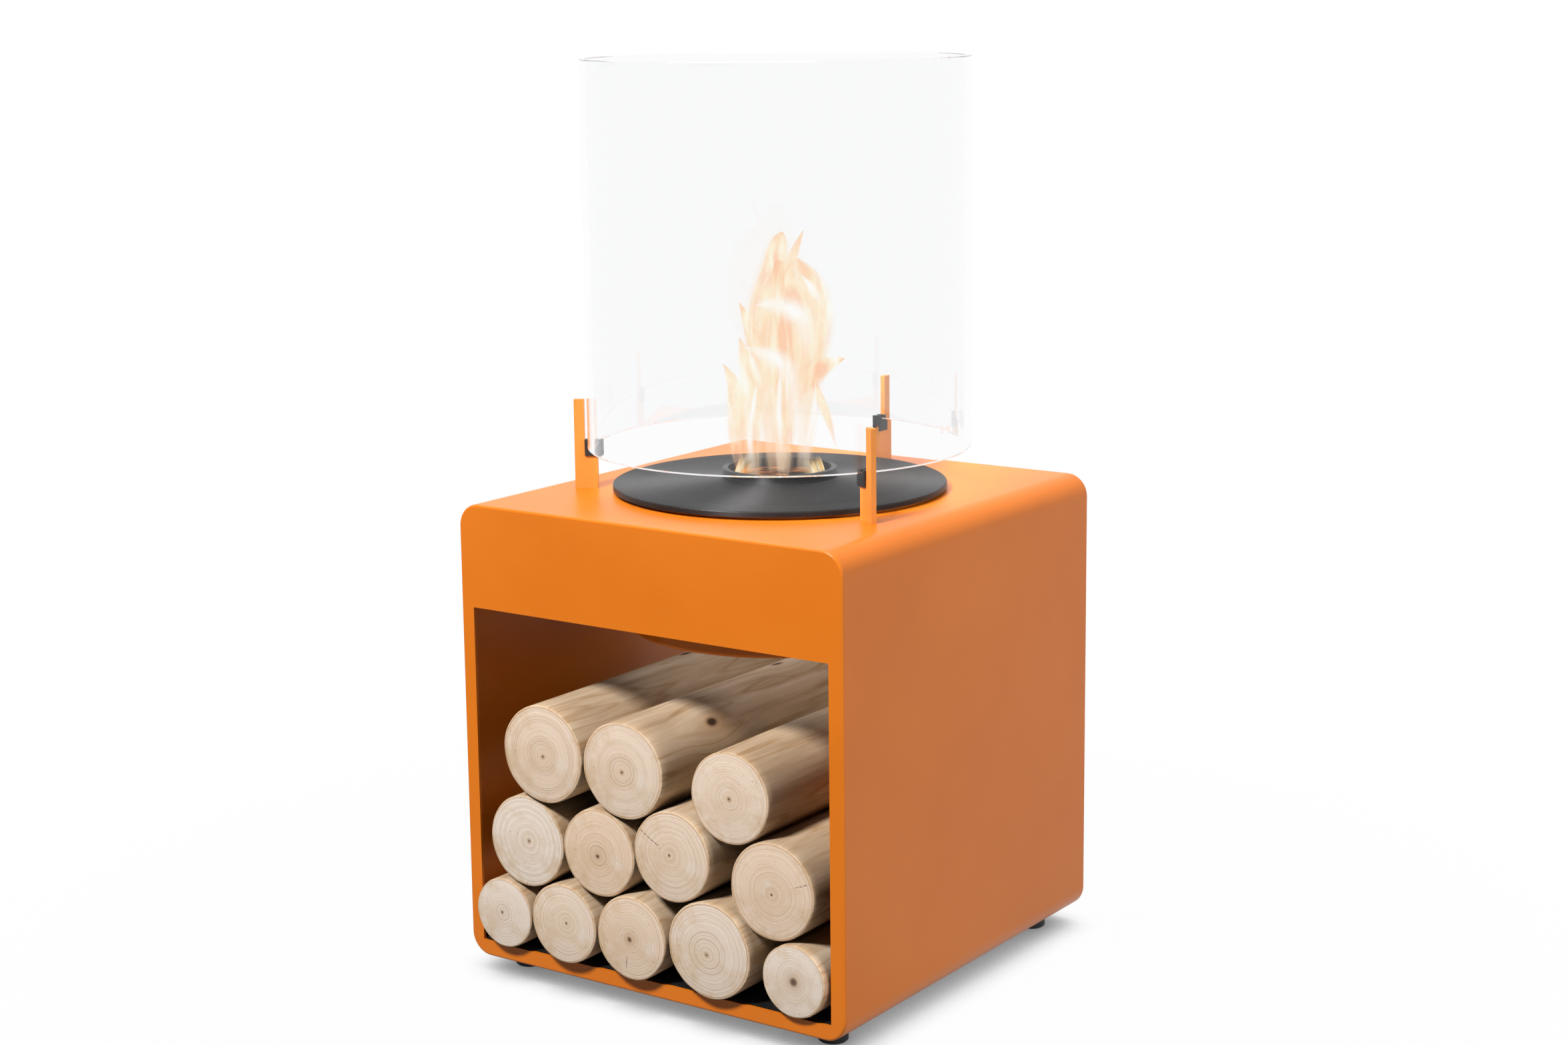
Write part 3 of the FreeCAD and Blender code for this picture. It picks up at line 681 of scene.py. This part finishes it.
# %% Flame stations
# Each sheet is a list of stations: across, into the picture, height and half width, in millimetres
LICKS = {
    "body": [(-2, 8, -4, 14), (-3, 9, 24, 20), (0, 9, 60, 27), (5, 8, 92, 36), (10, 6, 122, 39),
             (12, 4, 148, 36), (8, 3, 168, 26), (3, 2, 182, 14), (0, 2, 192, 3)],
    "tall": [(-2, 0, -6, 12), (-4, 2, 25, 14), (-7, 4, 62, 18), (-11, 4, 102, 24), (-13, 2, 134, 25),
             (-11, 0, 160, 21), (-4, -1, 184, 16), (0, 0, 204, 14), (3, 1, 214, 8), (5, 1, 218, 1)],
    "horn": [(-2, -4, 130, 8), (2, -4, 156, 11), (8, -3, 178, 10), (13, -2, 194, 7), (19, 0, 208, 4),
             (24, 1, 219, 0.5)],
    "right": [(22, 8, -6, 9), (24, 8, 22, 11), (27, 8, 62, 13), (30, 6, 98, 18), (34, 4, 124, 21),
              (34, 2, 148, 22), (31, 1, 168, 18), (25, 0, 182, 11), (16, 0, 194, 2)],
    "spike": [(10, -4, 68, 13), (26, -6, 84, 16), (42, -6, 95, 11), (54, -6, 100, 5), (61, -6, 101, 0.5)],
    "left": [(-36, -8, -4, 6), (-40, -9, 20, 9), (-40, -8, 46, 12), (-39, -6, 68, 12), (-43, -4, 84, 7),
             (-51, -4, 97, 0.5)],
    "inner_left": [(-24, -14, -4, 9), (-26, -14, 22, 13), (-26, -13, 54, 16), (-25, -11, 82, 15),
                   (-30, -8, 104, 9), (-36, -6, 122, 0.5)],
    "left_tip": [(-10, 6, 72, 14), (-16, 6, 98, 16), (-23, 6, 122, 11), (-31, 6, 142, 5), (-36, 6, 153, 0.5)],
    "middle": [(4, -18, -4, 9), (4, -18, 14, 12), (5, -17, 48, 16), (5, -14, 82, 20), (6, -12, 112, 20),
               (8, -10, 138, 13), (8, -9, 158, 1)],
    "strand": [(53, 0, 16, 0.5), (48, 0, 36, 4), (42, -1, 54, 6), (35, -2, 72, 5), (29, -3, 88, 0.5)],
}
STREAKS = {
    "arch": [(-20, -26, 154, 0.5), (-6, -27, 156, 12), (12, -28, 150, 16), (25, -28, 140, 17),
             (28, -27, 122, 14), (24, -26, 94, 0.5)],
    "bend": [(-32, -28, 116, 0.5), (-14, -29, 110, 11), (2, -30, 104, 15), (12, -30, 90, 13),
             (12, -30, 62, 9), (17, -28, 36, 8), (23, -24, 10, 9)],
    "crest": [(22, -20, 180, 0.5), (33, -21, 166, 10), (41, -20, 150, 0.5)],
    "fork": [(34, -18, 82, 0.5), (33, -18, 58, 5), (29, -18, 36, 5), (23, -18, 12, 7)],
    "leg": [(2, -31, 98, 0.5), (0, -31, 72, 5), (0, -30, 42, 4), (2, -28, 14, 4)],
    "left_leg": [(-20, -28, 82, 0.5), (-25, -28, 54, 5), (-28, -26, 28, 4), (-26, -24, 8, 5)],
}
print("flame:", len(LICKS), "licks and", len(STREAKS), "streaks planned")

# %% Flame sheets
# Millimetres in a metre
MM = 1000
MOUTH_TOP = COLLAR_HIGH.z
ACROSS, INTO, UP = Vector((cos(YAW), sin(YAW), 0)), Vector((-sin(YAW), cos(YAW), 0)), Vector((0, 0, 1))
SHEET_POINTS = 7
# Places of the four finishes in the flame's list of materials
LICK, STREAK, MOUTH_FIRE, EMBERS = range(4)


def of_kind(geometry, kind):
    return [g for g in geometry if isinstance(g, kind)]


def set_burning(faces, finish):
    for face in faces:
        face.material_index = finish
        face.smooth = True


def flame_sheet(bm, stations, bulge, turn, finish):
    """Curved sheet along its stations, bulging out of its own plane, turned about its spine."""
    rise, side = bm.verts.layers.float["rise"], bm.verts.layers.float["side"]
    across, into = (Matrix.Rotation(turn, 3, "Z") @ v for v in (ACROSS, INTO))
    row = [bm.verts.new() for _ in range(SHEET_POINTS)]
    for k, v in enumerate(row):
        v[side] = 2 * k / (SHEET_POINTS - 1) - 1
    edges = [bm.edges.new(pair) for pair in zip(row, row[1:])]
    last = len(stations) - 1
    for step, (aside, deep, height, half) in enumerate(stations):
        if step:
            grown = bmesh.ops.extrude_edge_only(bm, edges=edges)["geom"]
            row, edges = of_kind(grown, bmesh.types.BMVert), of_kind(grown, bmesh.types.BMEdge)
            set_burning(of_kind(grown, bmesh.types.BMFace), finish)
        before, after = stations[max(step - 1, 0)], stations[min(step + 1, last)]
        run = Vector((after[0] - before[0], after[2] - before[2])).normalized()
        wide = (across * run.y - UP * run.x) * half / MM
        middle = BURNER_AXIS + (ACROSS * aside + INTO * deep) / MM + UP * (MOUTH_TOP + height / MM)
        for v in row:
            v[rise] = step / last
            v.co = middle + wide * v[side] + into * (bulge * half / MM * (1 - v[side] ** 2))


print("flame sheets start", round(MOUTH_TOP, 4), "m up")

# %% [markdown]
# Down in the mouth lies a bed of embers, a low dome inset from a disc. On it stand two rings of small
# flames: a circle of edges is drawn up and in, and noise makes each lick its own height. Their side
# value grows towards the front and the back, so the finish leaves them burning at the left and right.

# %% Fire in the mouth
MOUTH_BORE = 0.046
BED_DEPTH, BED_CROWN, BED_POINTS, BED_INSET = 0.008, 0.002, 40, MOUTH_BORE * 0.4
RING_DEPTH, RING_POINTS, RING_STEPS = 0.007, 64, (0.35, 0.7, 1.0)
RING_TAPER, LICK_SPREAD = 0.12, 0.5
# Each ring of low flames: its radius and height in millimetres
LOW_FLAMES = (43, 15), (36, 11)
# Turns of a lick's three sheets about its spine, and a small turn to and fro from lick to lick, in degrees
LICK_TURNS, LICK_SWAY = (0, 60, -60), 10
LICK_BULGE, STREAK_BULGE = 0.5, 0.3


def fire_bed(bm):
    """Low dome of embers inside the mouth."""
    level = Matrix.Translation(BURNER_AXIS + UP * (MOUTH_TOP - BED_DEPTH))
    made = bmesh.ops.create_circle(bm, cap_ends=True, segments=BED_POINTS, radius=MOUTH_BORE, matrix=level)
    face = made["verts"][0].link_faces[0]
    inner = bmesh.ops.inset_individual(bm, faces=[face], thickness=BED_INSET, depth=BED_CROWN)
    for f in [face, *inner["faces"]]:
        f.material_index = EMBERS


def low_flames(bm, radius, tall):
    """Ring of small flames: a circle of edges, drawn up and in."""
    rise, side = bm.verts.layers.float["rise"], bm.verts.layers.float["side"]
    foot = BURNER_AXIS + UP * (MOUTH_TOP - RING_DEPTH)
    level = Matrix.Translation(foot)
    ring = bmesh.ops.create_circle(bm, segments=RING_POINTS, radius=radius, matrix=level)["verts"]
    edges = list(dict.fromkeys(e for v in ring for e in v.link_edges))
    for v in ring:
        v[side] = 1 - abs((v.co - foot).normalized().dot(ACROSS)) ** 4
    for step in RING_STEPS:
        grown = bmesh.ops.extrude_edge_only(bm, edges=edges)["geom"]
        ring = of_kind(grown, bmesh.types.BMVert)
        edges = [e for e in of_kind(grown, bmesh.types.BMEdge) if e.verts[0] in ring and e.verts[1] in ring]
        for v in ring:
            out = (v.co - foot) * Vector((1, 1, 0))
            lick = 1 + LICK_SPREAD * noise.noise(out * 55 + Vector((0, 0, radius * 90)))
            v.co = foot + out.normalized() * radius * (1 - RING_TAPER * step) + UP * (tall * step * lick)
            v[rise] = step
        set_burning(of_kind(grown, bmesh.types.BMFace), MOUTH_FIRE)


def flame():
    bm = bmesh.new()
    bm.verts.layers.float.new("rise")
    bm.verts.layers.float.new("side")
    fire_bed(bm)
    for k, stations in enumerate(LICKS.values()):
        sway = (-1) ** k
        for turn in LICK_TURNS:
            flame_sheet(bm, stations, -LICK_BULGE * sway, radians(turn + LICK_SWAY * sway), LICK)
    for stations in STREAKS.values():
        flame_sheet(bm, stations, STREAK_BULGE, 0.0, STREAK)
    for reach, tall in LOW_FLAMES:
        low_flames(bm, reach / MM, tall / MM)
    piece = object_from(bm, "flame")
    smooth = piece.modifiers.new("smooth", "SUBSURF")
    smooth.levels = smooth.render_levels = 2
    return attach(piece, "burner")


fire = flame()
print("flame:", len(fire.data.polygons), "faces before smoothing")

# %% [markdown]
# A flame glows and does not reflect, so its finish has a black base and gives its own light. The licks
# run from peach to cream, the streaks are nearly white, the low flames are orange to yellow, and the
# embers are brown with a few orange spots. The noise that colours them is stretched upwards, and it
# also thins the first three.

# %% Flame finishes
WHITE, PEACH = (1, 1, 1), (1, 0.79, 0.66)


def burning(name, scale, solid, tones, warmth, climb, thin, thick):
    """Glow by noise and height, solid in the middle of a sheet and thinned by side, height and noise."""
    mat, tree, bsdf, place = new_finish(name)
    rise = add_node(tree, "Attribute", attribute_name="rise").outputs["Fac"]
    side = maths(tree, "ABSOLUTE", add_node(tree, "Attribute", attribute_name="side").outputs["Fac"])
    upward = add_node(tree, "Mapping", {"Vector": place, "Scale": (1, 1, 0.38)}).outputs["Vector"]
    lick = noisy(tree, upward, scale, detail=3.0, Distortion=1.6)
    glow = mixed(tree, 1.0, colour_ramp(tree, lick, tones), colour_ramp(tree, rise, warmth), "MULTIPLY")
    inside = in_range(tree, side, 0.98, solid, smooth=True)
    fade = maths(tree, "MULTIPLY", inside, colour_ramp(tree, rise, climb))
    wisps = in_range(tree, lick, 0.32, 0.62, to_low=thin, to_high=thick)
    feed(tree, bsdf, {"Base Color": (0, 0, 0, 1), "Specular IOR Level": 0.0, "Roughness": 1.0,
                      "Emission Color": glow, "Emission Strength": 1.0,
                      "Alpha": maths(tree, "MULTIPLY", fade, wisps)})
    return mat


flame_finishes = [
    burning("flame_lick", scale=30.0, solid=0.45, thin=0.55, thick=1.2,
            tones=[(0.36, (1.0, 0.59, 0.37)), (0.45, (1.0, 0.76, 0.52)), (0.54, (1.0, 0.90, 0.68)),
                   (0.66, (1.0, 0.98, 0.88))],
            warmth=[(0.0, PEACH), (0.40, (1, 0.93, 0.88)), (0.60, WHITE), (0.78, WHITE), (0.97, PEACH)],
            climb=[(0.0, 0.08), (0.20, 0.30), (0.40, 0.72), (0.85, 0.80), (1.0, 0.45)]),
    burning("flame_streak", scale=42.0, solid=0.0, thin=0.85, thick=1.15,
            tones=[(0.30, (1.0, 0.96, 0.86)), (0.60, (1.0, 0.995, 0.97))], warmth=[(0.0, WHITE)],
            climb=[(0.0, 0.5), (0.2, 1.0), (0.6, 0.9), (1.0, 0.0)]),
    burning("mouth_fire", scale=20.0, solid=0.1, thin=0.2, thick=1.3,
            tones=[(0.38, (0.95, 0.34, 0.07)), (0.48, (1.0, 0.66, 0.25)), (0.58, (1.0, 0.94, 0.70))],
            warmth=[(0.0, WHITE)], climb=[(0.0, 0.9), (0.5, 0.85), (1.0, 0.0)]),
    burning("embers", scale=34.0, solid=0.5, thin=1.0, thick=1.0,
            tones=[(0.42, (0.016, 0.006, 0.003)), (0.52, (0.11, 0.033, 0.010)), (0.64, (0.66, 0.24, 0.06))],
            warmth=[(0.0, WHITE)], climb=[(0.0, 1.0)])]
for finish in flame_finishes:
    fire.data.materials.append(finish)
print("flame finishes:", len(fire.data.materials))
